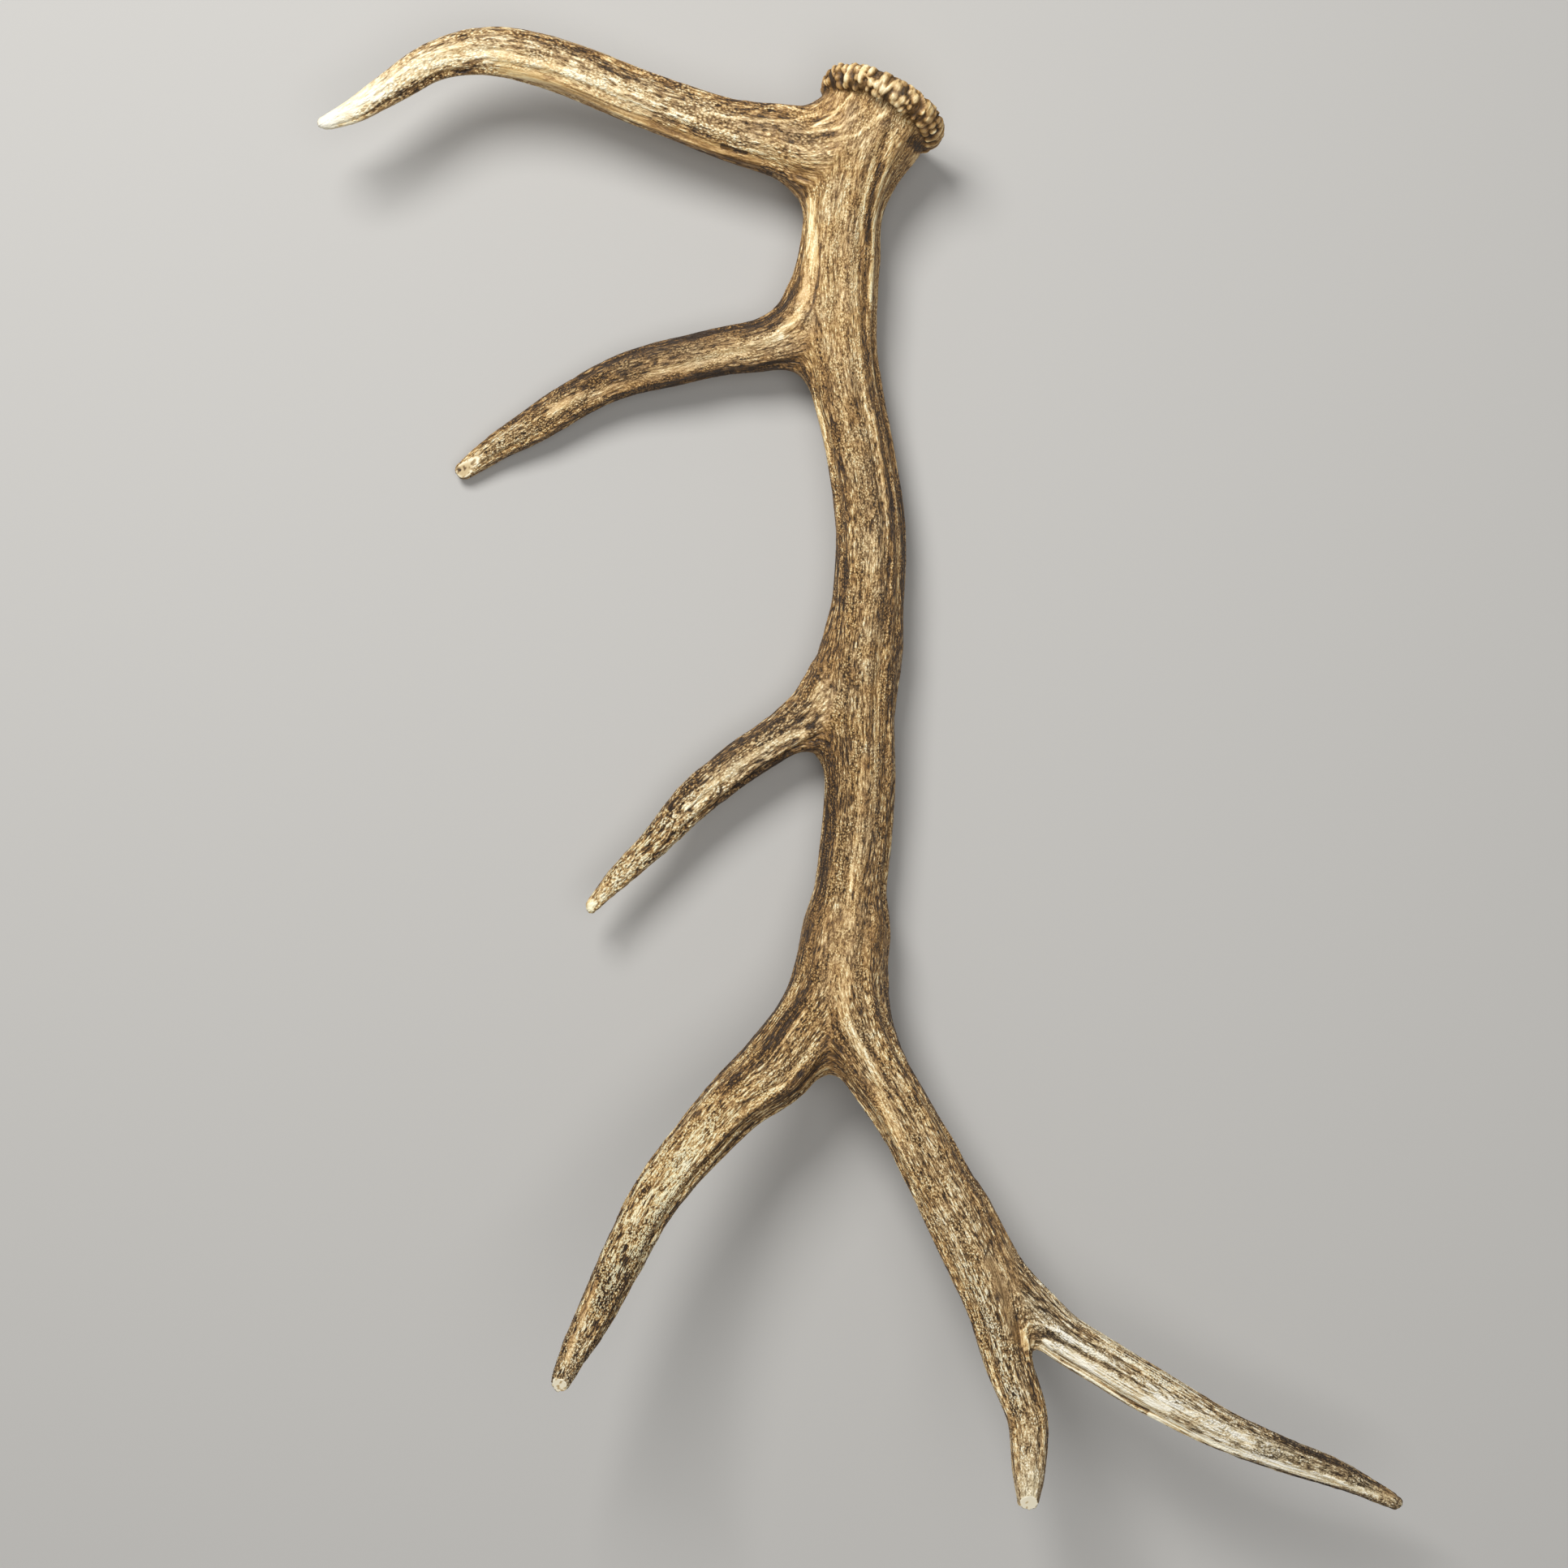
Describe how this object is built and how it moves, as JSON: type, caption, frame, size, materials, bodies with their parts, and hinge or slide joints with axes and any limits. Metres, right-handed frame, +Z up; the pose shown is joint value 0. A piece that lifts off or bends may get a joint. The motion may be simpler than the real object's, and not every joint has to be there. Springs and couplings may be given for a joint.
{
  "type": "deer antler",
  "caption": "Branching elk antler: a beaded burr with a flat seat, a ridged curving beam, front tines and a forked crown. Lies hollow side up, as a display or craft piece.",
  "frame": {"origin": "middle of the overall box in X and Y, at the level of the surface that the antler lies on", "axes": "+Y along the beam toward the burr, +Z up from the surface on the antler's hollow side, and -X toward the brow, bez and trez tines"},
  "size_m": [0.8202, 1.1206, 0.1951],
  "materials": {
    "beam_antler": "satin, brown stained antler bone with paler rubbed ridges",
    "tine_antler": "satin, tan antler bone rubbed pale toward the tips"
  },
  "bodies": {
    "root": {"lower_beam": "beam_antler", "brow_tine": "tine_antler", "bez_tine": "beam_antler", "middle_beam": "beam_antler", "trez_tine": "tine_antler", "upper_beam": "beam_antler", "royal_tine": "tine_antler", "crown_beam": "beam_antler", "surroyal_tine": "tine_antler", "beam_tip": "tine_antler"}
  },
  "joints": []
}
